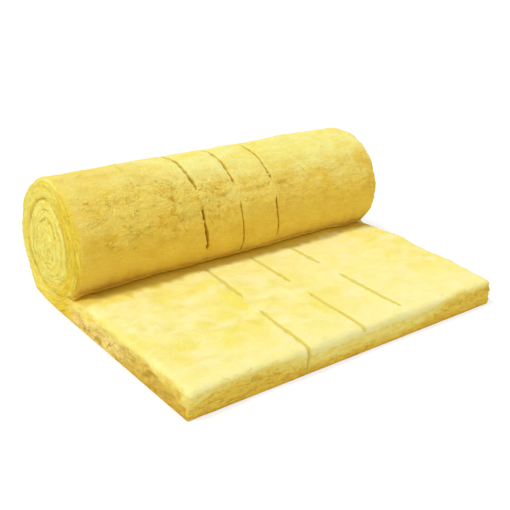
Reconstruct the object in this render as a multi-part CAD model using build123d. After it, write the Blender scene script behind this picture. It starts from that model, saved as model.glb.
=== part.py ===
"""A glass wool insulation roll, partly unrolled: one continuous blanket, wound at the back and laid flat in front.

+X runs along the roll's axis, across the blanket's width. -Y is the way the blanket unrolls, and +Z is up.
The origin is at the middle of the bounding box's underside. Sizes are in millimetres, angles in degrees.
Round the roll, an angle is measured from the front, where it faces the laid blanket, up over the top.
"""

import math
import os

from build123d import *

# The blanket
BLANKET_WIDTH = 1140.0
BLANKET_THICKNESS = 80.0
EDGE_RADIUS = 12.0
UNDERSIDE_RADIUS = 4.0

# The roll
ROLL_RADIUS = 183.0
ROLL_SAG = 12.0
RIM_RADIUS = 22.0

# The laid stretch, from the roll's front to the blanket's free edge
LAID_LENGTH = 497.0

# The seam between one turn and the next, which shows on both ends as a spiral groove
OUTER_TURN = 47.0
BOTTOM_SQUEEZE = 38.0
EYE_DROP = 21.0
EYE_RADIUS = 9.0
INNER_TURNS = 5
SEAM_WIDTH = 5.0
SEAM_DEPTH = 8.0

# The crease where the roll's front comes down onto the laid blanket
CREASE_MOUTH = 8.0
CREASE_DEPTH = 45.0

# The factory cuts that split the blanket along its length: dashes, with bridges of whole wool between them
CUT_WIDTH = 4.0
CUT_BRIDGE = 72.0
CUT_SPACING_AT_EDGE = BLANKET_WIDTH / 6
CUT_SPACING_AT_ROLL = 163.0
CUT_SPACING_ON_ROLL = 138.0
CUT_SHIFT_ON_ROLL = -22.0
ROLL_CUT_DEPTH = 38.0
ROLL_BRIDGE_ANGLE = 17.0
ROLL_BRIDGE_CENTRES = (37.0, 121.0, 205.0)
ROLL_CUT_END = 245.0


class Cut:
    """One line of cuts: its place across the blanket, counted in spacings, and where its dashes stop."""

    def __init__(self, place, edge_gap, bridge_from_edge, lowest_angle, stagger):
        self.place = place
        self.edge_gap = edge_gap
        self.bridge_from_edge = bridge_from_edge
        self.lowest_angle = lowest_angle
        self.stagger = stagger


CUTS = (
    Cut(place=-1, edge_gap=0.0, bridge_from_edge=256.0, lowest_angle=-12.0, stagger=1.0),
    Cut(place=0, edge_gap=0.0, bridge_from_edge=262.0, lowest_angle=-26.0, stagger=-1.0),
    Cut(place=1, edge_gap=30.0, bridge_from_edge=310.0, lowest_angle=-18.0, stagger=-3.0),
)

# Places that follow from the sizes
HALF_WIDTH = BLANKET_WIDTH / 2
AXIS_Y = LAID_LENGTH / 2
AXIS_Z = ROLL_RADIUS - ROLL_SAG
EDGE_Y = AXIS_Y - ROLL_RADIUS - LAID_LENGTH
CREASE_Y = AXIS_Y - math.sqrt(ROLL_RADIUS**2 - (AXIS_Z - BLANKET_THICKNESS) ** 2)
EYE_Z = AXIS_Z - EYE_DROP
OVERSHOOT = 10.0


def roll_body():
    """The wound part: a turned solid with soft rims, flattened where it rests on the floor."""
    turned = Cylinder(ROLL_RADIUS, BLANKET_WIDTH, rotation=(0, 90, 0))
    turned = fillet(turned.edges().filter_by(GeomType.CIRCLE), RIM_RADIUS)
    turned = Pos(0, AXIS_Y, AXIS_Z) * turned
    floor_slab = Box(
        BLANKET_WIDTH + 2 * OVERSHOOT,
        2 * ROLL_RADIUS + 2 * OVERSHOOT,
        ROLL_RADIUS,
        align=(Align.CENTER, Align.CENTER, Align.MAX),
    )
    return turned - Pos(0, AXIS_Y, 0) * floor_slab


def laid_body():
    """The laid part, from its free edge to under the roll, where it turns up into the outer turn."""
    rear_y = AXIS_Y + RIM_RADIUS
    slab = Box(
        BLANKET_WIDTH,
        rear_y - EDGE_Y,
        BLANKET_THICKNESS,
        align=(Align.CENTER, Align.MIN, Align.MIN),
    )
    slab = Pos(0, EDGE_Y, 0) * slab
    upright = slab.edges().filter_by(Axis.Z)
    slab = fillet(upright.group_by(Axis.Y)[-1], RIM_RADIUS)
    slab = fillet(slab.edges().filter_by(Axis.Z).group_by(Axis.Y)[0], EDGE_RADIUS)
    slab = fillet(slab.edges().group_by(Axis.Z)[-1], EDGE_RADIUS)
    return fillet(slab.edges().group_by(Axis.Z)[0], UNDERSIDE_RADIUS)


def crease_cut():
    """The wedge of air under the roll's front, all across the blanket."""
    tip_y = CREASE_Y + CREASE_DEPTH
    tip_z = BLANKET_THICKNESS - CREASE_MOUTH / 2
    mouth_y = CREASE_Y - CREASE_MOUTH
    wedge = Polyline(
        (mouth_y, BLANKET_THICKNESS),
        (tip_y, tip_z),
        (mouth_y, BLANKET_THICKNESS + CREASE_MOUTH),
        close=True,
    )
    face = make_face(Plane.YZ * wedge)
    return extrude(face, BLANKET_WIDTH / 2 + OVERSHOOT, dir=(1, 0, 0), both=True)


def seam_path(inset):
    """The seam as quarter ellipses about the roll's eye: from the crease under the roll, then round and inwards.

    Its distance from the eye falls evenly at the bottom, back, top and front. inset moves the path inwards.
    """
    bottom = EYE_Z - BLANKET_THICKNESS + BOTTOM_SQUEEZE
    back = ROLL_RADIUS - OUTER_TURN
    top = AXIS_Z + ROLL_RADIUS - OUTER_TURN - EYE_Z
    front = ROLL_RADIUS - OUTER_TURN
    rise = (EYE_Z - BLANKET_THICKNESS) / bottom
    lead_in = (AXIS_Y - CREASE_Y) / math.sqrt(1 - rise**2)

    def reach(first, turn):
        return first + (EYE_RADIUS - first) * turn / INNER_TURNS - inset

    arcs = [quarter(lead_in - inset, reach(bottom, 0), 180)]
    for turn in range(INNER_TURNS):
        arcs.append(quarter(reach(back, turn), reach(bottom, turn), 270))
        arcs.append(quarter(reach(back, turn), reach(top, turn), 0))
        arcs.append(quarter(reach(front, turn), reach(top, turn), 90))
        arcs.append(quarter(reach(front, turn), reach(bottom, turn + 1), 180))
    return arcs


def quarter(half_width, half_height, start):
    """A quarter of an ellipse about the roll's eye, seen along the roll, from the angle start on."""
    return EllipticalCenterArc((AXIS_Y, EYE_Z), half_width, half_height, start, arc_size=90)


def seam_grooves():
    """The spiral groove on each end of the roll."""
    outer = seam_path(inset=0)
    inner = seam_path(inset=SEAM_WIDTH)
    ends = [Line(outer[0] @ 0, inner[0] @ 0), Line(outer[-1] @ 1, inner[-1] @ 1)]
    outline = Wire(outer + inner + ends)
    face = Plane.YZ * Face(outline)
    groove = extrude(face, SEAM_DEPTH + OVERSHOOT, dir=(1, 0, 0))
    right = Pos(HALF_WIDTH - SEAM_DEPTH, 0, 0) * groove
    left = Pos(-HALF_WIDTH - OVERSHOOT, 0, 0) * groove
    return [left, right]


def laid_cuts(cut):
    """The dashes of one cut line in the laid stretch, through its whole thickness."""
    at_edge = cut.place * CUT_SPACING_AT_EDGE
    at_roll = cut.place * CUT_SPACING_AT_ROLL
    run = CREASE_Y - EDGE_Y
    skew = math.degrees(math.atan2(at_edge - at_roll, run))
    starts_and_ends = (
        (cut.edge_gap if cut.edge_gap else -OVERSHOOT, cut.bridge_from_edge - CUT_BRIDGE / 2),
        (cut.bridge_from_edge + CUT_BRIDGE / 2, run - CREASE_MOUTH),
    )
    dashes = []
    for start, end in starts_and_ends:
        middle = (start + end) / 2
        x = at_edge + (at_roll - at_edge) * middle / run
        dash = Box(CUT_WIDTH, end - start, BLANKET_THICKNESS + 2 * OVERSHOOT)
        dashes.append(Pos(x, EDGE_Y + middle, BLANKET_THICKNESS / 2) * Rot(0, 0, skew) * dash)
    return dashes


def roll_cuts(cut):
    """The dashes of one cut line round the roll, as deep as most of its outer turn."""
    x = CUT_SHIFT_ON_ROLL + cut.place * CUT_SPACING_ON_ROLL
    half_bridge = ROLL_BRIDGE_ANGLE / 2
    bridges = [centre + cut.stagger for centre in ROLL_BRIDGE_CENTRES]
    starts = [cut.lowest_angle] + [bridge + half_bridge for bridge in bridges]
    ends = [bridge - half_bridge for bridge in bridges] + [ROLL_CUT_END]
    axis = Axis((0, AXIS_Y, AXIS_Z), (-1, 0, 0))
    middle_y = AXIS_Y - ROLL_RADIUS - OVERSHOOT / 2 + ROLL_CUT_DEPTH / 2
    section = Plane((x, middle_y, AXIS_Z)) * Rectangle(CUT_WIDTH, ROLL_CUT_DEPTH + OVERSHOOT)
    dashes = []
    for start, end in zip(starts, ends):
        dash = revolve(section, axis, revolution_arc=end - start)
        dashes.append(dash.rotate(axis, start))
    return dashes


def blanket():
    """The whole blanket as one solid."""
    body = roll_body() + laid_body()
    body -= crease_cut()
    for groove in seam_grooves():
        body -= groove
    for cut in CUTS:
        for dash in laid_cuts(cut) + roll_cuts(cut):
            body -= dash
    return body


os.makedirs("parts", exist_ok=True)
export_step(blanket(), "parts/glass_wool_blanket.step")
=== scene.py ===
"""The looks of a glass wool loft roll, partly unrolled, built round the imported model.

The blanket is one closed mesh: a section that runs round its outline, carried across its width, with a wound
end on each side. Geometry Nodes raise the wool's relief on it, and strew strands and torn flakes over it.
Sizes are in metres and angles in degrees. Round the roll, an angle is measured from the front, over the top.
"""

import math
from dataclasses import dataclass

import bpy
import numpy as np
from mathutils import Matrix, Vector, geometry, kdtree, noise


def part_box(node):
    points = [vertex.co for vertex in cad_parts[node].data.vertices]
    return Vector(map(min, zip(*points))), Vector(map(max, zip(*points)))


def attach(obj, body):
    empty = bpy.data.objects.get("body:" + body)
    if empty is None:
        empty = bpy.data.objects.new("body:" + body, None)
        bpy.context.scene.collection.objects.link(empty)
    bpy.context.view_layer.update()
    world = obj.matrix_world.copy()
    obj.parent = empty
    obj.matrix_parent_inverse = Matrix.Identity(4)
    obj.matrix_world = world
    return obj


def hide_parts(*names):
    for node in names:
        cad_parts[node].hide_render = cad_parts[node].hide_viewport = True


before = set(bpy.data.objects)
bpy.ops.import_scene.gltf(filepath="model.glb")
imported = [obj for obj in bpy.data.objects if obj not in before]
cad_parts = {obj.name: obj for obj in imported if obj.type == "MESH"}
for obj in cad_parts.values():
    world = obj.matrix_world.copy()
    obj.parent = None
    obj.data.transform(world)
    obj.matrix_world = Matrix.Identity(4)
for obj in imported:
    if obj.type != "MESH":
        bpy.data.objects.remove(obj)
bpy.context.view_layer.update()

LOW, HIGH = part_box("glass_wool_blanket")

# The blanket and its roll, as in the model
THICKNESS = 0.080
ROLL_RADIUS = 0.183
HALF_WIDTH = HIGH.x
EDGE_Y = LOW.y
AXIS_Y = HIGH.y - ROLL_RADIUS
AXIS_Z = HIGH.z - ROLL_RADIUS
FLOOR_ANGLE = 180 + math.degrees(math.asin(AXIS_Z / ROLL_RADIUS))
FLOOR_Y = AXIS_Y + math.sqrt(ROLL_RADIUS**2 - AXIS_Z**2)
CREASE_Y = AXIS_Y - math.sqrt(ROLL_RADIUS**2 - (AXIS_Z - THICKNESS) ** 2)
LAID_RUN = CREASE_Y - EDGE_Y

# The crease under the roll's front
CREASE_GAP = 0.0018
CREASE_TIP_GAP = 0.0012
CREASE_DEPTH = 0.030
CREASE_LIP = 0.012
CREASE_WAVE = 0.0034
CREASE_DIP = 0.005
CREASE_RISE = 0.005

# How the blanket gives at the crease's two ends, left and right: it sags, and the crease tucks back
CORNER_REACH = (0.040, 0.080)
CORNER_SAG = (0.020, 0.006)
CORNER_SAG_FADE = 0.060
CORNER_TUCK = (0.017, 0.0)
LIP_REACH = ROLL_RADIUS - CREASE_LIP
LIP_ANGLE = -math.degrees(math.asin((AXIS_Z - THICKNESS - CREASE_GAP - CREASE_LIP) / LIP_REACH))

# How far the outline draws in at the two ends, and the radii of its own corners
ROLL_RIM = 0.022
TOP_RIM = 0.015
UNDERSIDE_RIM = 0.003
CREASE_RIM = 0.010
FLOOR_RIM = 0.013
TOP_CORNER = 0.016
UNDERSIDE_CORNER = 0.004

# How far the blanket's ends are drawn in, left and right: above the crease, in front of it, and at the back
PINCH = (-0.004, 0.046)
PINCH_FADE = 0.042
LAID_PINCH = (-0.004, 0.022)
BACK_SET_IN = (0.017, 0.006)
END_REACH = 0.10

# The seam between the turns, which winds inwards from the crease to the roll's eye
OUTER_TURN = 0.047
EYE_Z = AXIS_Z - 0.021
BOTTOM_SQUEEZE = 0.038
COILS = 5.4
SEAM_WIDTH = 0.0034
SEAM_DEPTH = 0.007
INNER_TURNS_SET_BACK = 0.002
TURN_WANDER = 0.011
LUMPS_A_TURN = 2.2
LUMPS_A_COIL = 5.0

# The ragged ledge of torn wool that links the bridges on the roll's front
LEDGE_ANGLE = 39
LEDGE_CLIMB = 15
LEDGE_HEIGHT = 0.0030
BRIDGE_LUMP = 0.0040

# The crease's brown painted shade on the roll, and how far in front of it the roll's shadow is painted on
# the laid wool
CREASE_SHADE = 0.62
CREASE_SHADE_REACH = 0.024
ROLL_PAINTED_SHADOW_WIDTH = (0.026, 0.046)

# The skin is drawn down further over the laid front's left corner
CORNER_DRAPE = 0.024
CORNER_DRAPE_REACH = 0.045

# The front's torn band climbs so many degrees higher at the left
TORN_CLIMB = 34

# Two shallow rings round the roll, near its right end
RING_PLACES = (0.549, 0.526)
RING_WIDTH = 0.0065
RING_DEPTH = 0.0026

# Where drops of the binder have stained the roll: across the blanket, and the angle
STAINS = ((0.270, 58), (0.501, 47), (-0.538, 87))
STAIN_WIDTH = 0.016
STAIN_TURN = 5

# The factory cuts: dashes with bridges of whole wool between them
CUT_BRIDGE = 0.072
ROLL_CUT_DEPTH = 0.036
LAID_CUT_DEPTH = 0.0034
LOW_DRIFT = 0.014
CUT_WANDER = 0.0018
CUT_RIPPLE = 0.0008
BRIDGE_ANGLE = 17
ROLL_BRIDGES = (37, 121, 205)
LAST_CUT_ANGLE = 245
CLOSED_CUT = 0.0012
CUT_SHOULDERS = ((0.0085, 0.0), (0.0040, 0.06), (0.0013, 0.20))
CUT_LIP = 0.36
ROLL_CUT_SHAPE = (0.12, 0.8)
LAID_CUT_SHAPE = (1.0, 0.3)

# The light: how bright the sky, the lamp and the floor's own glow are, and how wide the lamp looks
SKY_LIGHT = 0.64
LAMP_POWER = 1.48
LAMP_WIDTH = 9
LAMP_LEAN_LEFT = 0.50
LAMP_LEAN_BACK = math.tan(math.radians(9.5))
FLOOR_GLOW = 0.70
FLOOR_REACH = 30

# Fineness of the mesh
ROW_STEP = 0.0050
OVER_STEP = 0.0060
CORNER_STEP = 0.0042
BACK_STEP = 0.009
UNDERSIDE_STEP = 0.026
COLUMN_STEP = 0.0056
RIM_COLUMNS = 6
END_STEP = 0.0056


def smooth(low, high, value):
    """0 up to low, 1 from high on, and an even S between them. low may also be the larger of the two."""
    share = np.clip((value - low) / (high - low), 0, 1)
    return share * share * (3 - 2 * share)


def outward(angle):
    """The way out of the roll at an angle, as (y, z)."""
    return -math.cos(math.radians(angle)), math.sin(math.radians(angle))


@dataclass
class Row:
    """One row of the mesh: a place on the blanket's outline, seen along the roll."""

    y: float
    z: float
    out: tuple
    rim: float
    stretch: str
    angle: float = 0.0
    on_roll: float = 0.0
    skin: float = 1.0
    run: float = 0.0

    def cut_floor(self):
        """The bottom of a cut here: deep in the roll, and shallow where the laid wool has closed up."""
        if self.stretch in ("crease", "base"):
            return self.y, self.z
        depth = ROLL_CUT_DEPTH if self.stretch == "roll" else LAID_CUT_DEPTH
        if self.stretch == "edge":
            depth *= float(smooth(-0.002, 0.014, self.z))
        return self.y - self.out[0] * depth, self.z - self.out[1] * depth


@dataclass
class CutLine:
    """One line of factory cuts: where it runs, where its dashes stop, and how far they gape.

    The gapes are those of the laid stretch, of the roll's lower dashes and of its upper ones.
    """

    edge_x: float
    crease_x: float
    roll_x: float
    edge_gap: float
    bridge: float
    lowest: float
    stagger: float
    gapes: tuple
    down_front: bool = False

    def across(self, row):
        """The line's place across the blanket at a row, with its wander."""
        share = min(max((row.y - EDGE_Y) / LAID_RUN, 0), 1)
        on_laid = self.edge_x + (self.crease_x - self.edge_x) * share
        straight = on_laid + (self.roll_x - on_laid) * row.on_roll
        wander = noise.noise(Vector((self.roll_x * 90, row.run / 0.07, 0.3)))
        ripple = noise.noise(Vector((self.roll_x * 70, row.run / 0.018, 7.3)))
        low = float(smooth(20, -15, row.angle)) * (row.stretch == "roll")
        return straight + CUT_WANDER * wander + CUT_RIPPLE * ripple + LOW_DRIFT * low

    def dashes(self, row):
        """The dashes in a row's stretch as (start, end) pairs, the row's place in them, and their taper."""
        if row.stretch == "roll":
            half, taper, place = BRIDGE_ANGLE / 2, 3.5, row.angle
            bridges = [angle + self.stagger for angle in ROLL_BRIDGES]
            first, last = self.lowest, LAST_CUT_ANGLE
        else:
            half, taper, place = CUT_BRIDGE / 2, 0.026, row.y - EDGE_Y
            bridges = [self.bridge]
            first, last = self.edge_gap or -1.0, LAID_RUN - 0.006
        starts = [first] + [bridge + half for bridge in bridges]
        ends = [bridge - half for bridge in bridges] + [last]
        return zip(starts, ends), place, taper

    def half_gape(self, row):
        """How far the cut stands open to each side at a row, or 0 where a bridge holds it shut."""
        on_front = row.stretch == "edge" and row.z < THICKNESS - 0.012
        if row.stretch in ("crease", "base") or on_front and not self.down_front:
            return 0.0
        dashes, place, taper = self.dashes(row)
        share = max(smooth(0, taper, place - start) * smooth(0, taper, end - place) for start, end in dashes)
        laid_gape, lower_gape, upper_gape = self.gapes
        gape = laid_gape * (0.7 if on_front else 1.0)
        if row.stretch == "roll":
            gape = lower_gape if row.angle < ROLL_BRIDGES[0] else upper_gape
        ragged = 1 + 0.8 * noise.noise(Vector((self.roll_x * 50, row.run / 0.022, 3.1)))
        ragged += 0.6 * noise.noise(Vector((self.roll_x * 50, row.run / 0.009, 5.7)))
        return float(gape / 2 * share * ragged)

    def columns(self, row):
        """Its vertices at a row, as (x, share of the cut's depth): shoulder, lip, wall, floor and back."""
        gape = self.half_gape(row)
        half = max(CLOSED_CUT, gape)
        opened = float(smooth(0, CLOSED_CUT, gape))
        sink, wall = ROLL_CUT_SHAPE if row.stretch == "roll" else LAID_CUT_SHAPE
        left = [(-half - away, depth * sink * opened) for away, depth in CUT_SHOULDERS]
        left += [(-half, CUT_LIP * sink * opened), (-half * wall, opened)]
        right = [(-x, depth) for x, depth in reversed(left)]
        return [(self.across(row) + x, depth) for x, depth in left + [(0.0, opened)] + right]


CUTS = (
    CutLine(-0.197, -0.154, -0.160, 0.0, 0.256, -12, 1, gapes=(0.0084, 0.0092, 0.0104), down_front=True),
    CutLine(0.007, 0.012, -0.022, 0.0, 0.262, -28, -1, gapes=(0.0086, 0.0036, 0.0076)),
    CutLine(0.188, 0.168, 0.115, 0.030, 0.310, -18, -3, gapes=(0.0100, 0.0054, 0.0082)),
)


def mix(pair, share):
    """The value at a share of the way from one of a pair to the other."""
    return pair[0] + (pair[1] - pair[0]) * share


def line_rows(start, end, out, step, rims, stretch, on_roll=(0, 0), skin=(1, 1)):
    """Rows along a straight part of the outline, without its last point."""
    count = max(2, round(math.dist(start, end) / step))
    rows = []
    for share in np.arange(count) / count:
        place = mix((start[0], end[0]), share), mix((start[1], end[1]), share)
        row = Row(*place, out, mix(rims, share), stretch, on_roll=mix(on_roll, share), skin=mix(skin, share))
        rows.append(row)
    return rows


def arc_rows(centre, radius, first, last, step, rims, stretch, on_roll=0.0, skin=(1, 1)):
    """Rows along a round part of the outline, without its last point."""
    count = max(2, round(radius * math.radians(abs(last - first)) / step))
    rows = []
    for share in np.arange(count) / count:
        angle = mix((first, last), share)
        out = outward(angle)
        place = centre[0] + radius * out[0], centre[1] + radius * out[1]
        rows.append(Row(*place, out, mix(rims, share), stretch, angle, on_roll, mix(skin, share)))
    return rows


def outline_rows():
    """The outline: the underside, the roll, in and out of the crease, the laid top and the free edge."""
    axis = (AXIS_Y, AXIS_Z)
    lip_out = outward(LIP_ANGLE)
    lip = (AXIS_Y + LIP_REACH * lip_out[0], AXIS_Z + LIP_REACH * lip_out[1])
    tip_y = CREASE_Y + CREASE_DEPTH
    tip_z = THICKNESS - 0.002
    top_corner = (EDGE_Y + TOP_CORNER, THICKNESS - TOP_CORNER)
    low_corner = (EDGE_Y + UNDERSIDE_CORNER, UNDERSIDE_CORNER)
    clear_y = CREASE_Y - 0.03
    down, up, front = (0, -1), (0, 1), (-1, 0)

    rows = line_rows((low_corner[0], 0), (CREASE_Y, 0), down, UNDERSIDE_STEP,
                     (UNDERSIDE_RIM, UNDERSIDE_RIM), "under", skin=(0, 0))
    rows += line_rows((CREASE_Y, 0), (AXIS_Y, 0), down, UNDERSIDE_STEP,
                      (UNDERSIDE_RIM, UNDERSIDE_RIM), "base", on_roll=(0, 1), skin=(0, 0))
    rows += line_rows((AXIS_Y, 0), (FLOOR_Y, 0), down, UNDERSIDE_STEP,
                      (UNDERSIDE_RIM, FLOOR_RIM), "base", on_roll=(1, 1), skin=(0, 0))
    rows += arc_rows(axis, ROLL_RADIUS, FLOOR_ANGLE, 225, BACK_STEP,
                     (FLOOR_RIM, ROLL_RIM), "roll", 1, (0.2, 1))
    for first, last, step in ((225, 180, BACK_STEP), (180, 75, OVER_STEP), (75, 5, ROW_STEP)):
        rows += arc_rows(axis, ROLL_RADIUS, first, last, step, (ROLL_RIM, ROLL_RIM), "roll", 1)
    rows += arc_rows(axis, ROLL_RADIUS, 5, LIP_ANGLE, ROW_STEP, (ROLL_RIM, CREASE_RIM), "roll", 1, (1, 0.6))
    rows += arc_rows(lip, CREASE_LIP, LIP_ANGLE, -90, 0.0026,
                     (CREASE_RIM, CREASE_RIM), "crease", 1, (0.6, 0))
    rows += line_rows((lip[0], lip[1] - CREASE_LIP), (tip_y, tip_z + CREASE_TIP_GAP), down, 0.008,
                      (CREASE_RIM, 0.001), "crease", on_roll=(1, 0.5), skin=(0, 0))
    rows += line_rows((tip_y, tip_z), (CREASE_Y, THICKNESS), up, 0.008,
                      (0.001, CREASE_RIM), "crease", on_roll=(0.5, 0), skin=(0, 0.3))
    rows += line_rows((CREASE_Y, THICKNESS), (clear_y, THICKNESS), up, ROW_STEP,
                      (CREASE_RIM, TOP_RIM), "laid", skin=(0.3, 1))
    rows += line_rows((clear_y, THICKNESS), (top_corner[0], THICKNESS), up, ROW_STEP,
                      (TOP_RIM, TOP_RIM), "laid")
    rows += arc_rows(top_corner, TOP_CORNER, 90, 0, CORNER_STEP, (TOP_RIM, TOP_RIM), "edge")
    rows += line_rows((EDGE_Y, top_corner[1]), (EDGE_Y, low_corner[1]), front, CORNER_STEP,
                      (TOP_RIM, UNDERSIDE_RIM), "edge")
    rows += arc_rows(low_corner, UNDERSIDE_CORNER, 0, -90, 0.0028,
                     (UNDERSIDE_RIM, UNDERSIDE_RIM), "edge", skin=(1, 0))
    for before, row in zip(rows, rows[1:]):
        row.run = before.run + math.dist((before.y, before.z), (row.y, row.z))
    return rows


def row_columns(row, counts):
    """All the columns between the rims at a row, as (x, share of a cut's depth)."""
    groups = [[(-HALF_WIDTH + row.rim, 0.0)]]
    groups += [cut.columns(row) for cut in CUTS]
    groups += [[(HALF_WIDTH - row.rim, 0.0)]]
    columns = groups[0]
    for count, before, after in zip(counts, groups, groups[1:]):
        start, end = before[-1][0], after[0][0]
        columns = columns + [(start + (end - start) * i / count, 0.0) for i in range(1, count)] + after
    return columns


class WoolMesh:
    """The blanket's vertices and faces, with what each vertex needs for its relief and its finish."""

    def __init__(self):
        self.places, self.outs, self.faces = [], [], []
        self.marks = {name: [] for name in ("skin", "deep", "end", "stretch")}

    def add(self, place, out, **marks):
        self.places.append(place)
        self.outs.append(out)
        for name, values in self.marks.items():
            values.append(marks[name])
        return len(self.places) - 1


def blanket_mesh(rows):
    """The blanket before its relief: its sheet all round the outline, and its two ends."""
    wool = WoolMesh()
    stops = [-HALF_WIDTH + ROLL_RIM] + [cut.roll_x for cut in CUTS] + [HALF_WIDTH - ROLL_RIM]
    counts = [round((b - a) / COLUMN_STEP) for a, b in zip(stops, stops[1:])]
    grid = []
    for row in rows:
        out = Vector((0, *row.out))
        base = Vector((0, row.y, row.z))
        floor = Vector((0, *row.cut_floor()))
        inner = []
        for x, depth in row_columns(row, counts):
            place = base.lerp(floor, depth) + Vector((x, 0, 0))
            skin = row.skin * max(0, 1 - 2 * depth)
            inner.append(wool.add(place, out, skin=skin, deep=depth, end=0.0, stretch=row.stretch))
        rims = {}
        for side in (-1, 1):
            rims[side] = []
            for turn in np.linspace(0, math.pi / 2, RIM_COLUMNS + 1)[1:]:
                x = side * (HALF_WIDTH - row.rim + row.rim * math.sin(turn))
                place = base - out * row.rim * (1 - math.cos(turn)) + Vector((x, 0, 0))
                facing = out * math.cos(turn) + Vector((side * math.sin(turn), 0, 0))
                end = math.sin(turn) ** 2
                number = wool.add(place, facing, skin=row.skin, deep=0.0, end=end, stretch=row.stretch)
                rims[side].append(number)
        grid.append(rims[-1][::-1] + inner + rims[1])
    for line, following in zip(grid, grid[1:] + grid[:1]):
        wool.faces += list(zip(line, following, following[1:], line[1:]))
    add_end(wool, [line[0] for line in grid], -1)
    add_end(wool, [line[-1] for line in grid], 1)
    for place in wool.places:
        place.x -= drawn_in(*place)
        place.z += crease_wave(*place)
        tuck, sag = corner_give(*place)
        place.y += tuck
        place.z -= sag
    return wool


def crease_wave(x, y, z):
    """How far the wool rises or dips along the crease, the roll's front and the laid top together."""
    near = math.exp(-((math.hypot(y - CREASE_Y, z - THICKNESS) / 0.024) ** 2))
    wave = noise.noise(Vector((x / 0.060, 1.7, 4.4))) + 0.5 * noise.noise(Vector((x / 0.017, 6.1, 2.2)))
    risen = CREASE_RISE * smooth(0.08, 0.20, x) * smooth(0.50, 0.34, x)
    dipped = CREASE_DIP * smooth(-0.32, -0.50, x)
    return float(CREASE_WAVE * wave + (risen - dipped)) * near


def corner_give(x, y, z):
    """How far a place near one of the crease's ends is tucked back, and how far it sags."""
    side = int(x > 0)
    at_end = float(smooth(HALF_WIDTH - CORNER_REACH[side], HALF_WIDTH, abs(x)))
    near = math.exp(-((math.hypot(y - CREASE_Y, z - THICKNESS) / 0.030) ** 2))
    level = math.exp(-abs(CREASE_Y - y) / CORNER_SAG_FADE) * smooth(0.01, 0.07, z) * (z < THICKNESS + 0.004)
    return CORNER_TUCK[side] * at_end * near, CORNER_SAG[side] * at_end * float(max(near, level))


def drawn_in(x, y, z):
    """How far a place near one of the roll's ends is drawn in, where the wool is squeezed or wound short."""
    low_front = smooth(THICKNESS - 0.002, THICKNESS + 0.006, z) * (y < AXIS_Y)
    low_front = low_front * math.exp(-max(0, z - THICKNESS - 0.006) / PINCH_FADE)
    back = smooth(AXIS_Y - 0.11, AXIS_Y + 0.12, y) * smooth(-0.04, 0.06, z)
    ahead = math.exp(-abs(CREASE_Y - y) / 0.050) * smooth(0.01, 0.05, z) * (z < THICKNESS + 0.004)
    near_end = smooth(HALF_WIDTH - END_REACH, HALF_WIDTH, abs(x))
    side = int(x > 0)
    front = PINCH[side] * low_front + LAID_PINCH[side] * ahead * (1 - low_front)
    return math.copysign(float((front + BACK_SET_IN[side] * back) * near_end), x)


def seam_reach(angle, lead_in=False):
    """How far the seam's first coil is from the roll's eye, at an angle from the front down and on round."""
    flat, up = math.cos(math.radians(angle)), -math.sin(math.radians(angle))
    half_width = ROLL_RADIUS - OUTER_TURN
    half_height = EYE_Z - THICKNESS + BOTTOM_SQUEEZE
    if lead_in:
        rise = (EYE_Z - THICKNESS) / half_height
        half_width = (AXIS_Y - CREASE_Y) / math.sqrt(1 - rise**2)
    elif up > 0:
        half_height = AXIS_Z + ROLL_RADIUS - OUTER_TURN - EYE_Z
    return 1 / math.hypot(flat / half_width, up / half_height)


def wound(y, z):
    """Where a place on an end lies in the winding: its angle, its coil, and how far the nearest seam is."""
    away_y, away_z = AXIS_Y - y, EYE_Z - z
    angle = math.degrees(math.atan2(away_z, away_y)) % 360
    radius = math.hypot(away_y, away_z)
    reach = seam_reach(angle)
    coil = 0.25 + COILS * (1 - radius / reach)
    first = 1 if angle < 90 else 0
    nearest = max(first, round(coil - angle / 360))
    gap = abs(coil - angle / 360 - nearest) * reach / COILS
    if angle < 90:
        gap = min(gap, abs(radius - seam_reach(angle, lead_in=True)))
    return angle, coil, gap


def inside(points, boundary):
    """Which of the points lie inside a closed boundary."""
    held = np.zeros(len(points), bool)
    for (ay, az), (by, bz) in zip(boundary, np.roll(boundary, -1, axis=0)):
        spans = (az > points[:, 1]) != (bz > points[:, 1])
        crossing = ay + (points[:, 1] - az) * (by - ay) / (bz - az if bz != az else 1)
        held ^= spans & (points[:, 0] < crossing)
    return held


def coil_points():
    """Places along the seam's coils and between them, from the outer turn in to the eye."""
    points = []
    for phase in (-0.5, 0.0, 0.1, 0.3, 0.5, 0.7, 0.9):
        angle = 90.0
        while True:
            coil = angle / 360 + phase
            reach = seam_reach(angle) * (1 - (coil - 0.25) / COILS)
            if reach < 0.004:
                break
            out_y, out_z = -math.cos(math.radians(angle)), -math.sin(math.radians(angle))
            points.append((AXIS_Y + reach * out_y, EYE_Z + reach * out_z))
            angle += math.degrees(END_STEP / reach)
    return points


def end_points(boundary):
    """Places for an end's inner vertices: along its coils, and on a loose grid where there is still room."""
    wanted = coil_points()
    for y in np.arange(EDGE_Y, HIGH.y, END_STEP * 0.93):
        for z in np.arange(0.003, HIGH.z, END_STEP * 0.93):
            shift = noise.cell_vector(Vector((y * 1000, z * 1000, 0.5))) - Vector((0.5, 0.5, 0.5))
            wanted.append((y + shift.x * 0.0016, z + shift.y * 0.0016))
    wanted = np.array(wanted)
    wanted = wanted[inside(wanted, boundary)]
    near = kdtree.KDTree(len(boundary) + len(wanted))
    for i, place in enumerate((*boundary, *wanted)):
        near.insert((*place, 0), i)
    near.balance()
    kept = [True] * (len(boundary) + len(wanted))
    for i in range(len(boundary), len(kept)):
        beside = near.find_range((*wanted[i - len(boundary)], 0), END_STEP * 0.62)
        kept[i] = not any(kept[other] and other < i for _, other, _ in beside)
    return [tuple(place) for place, keep in zip(wanted, kept[len(boundary):]) if keep]


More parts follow.
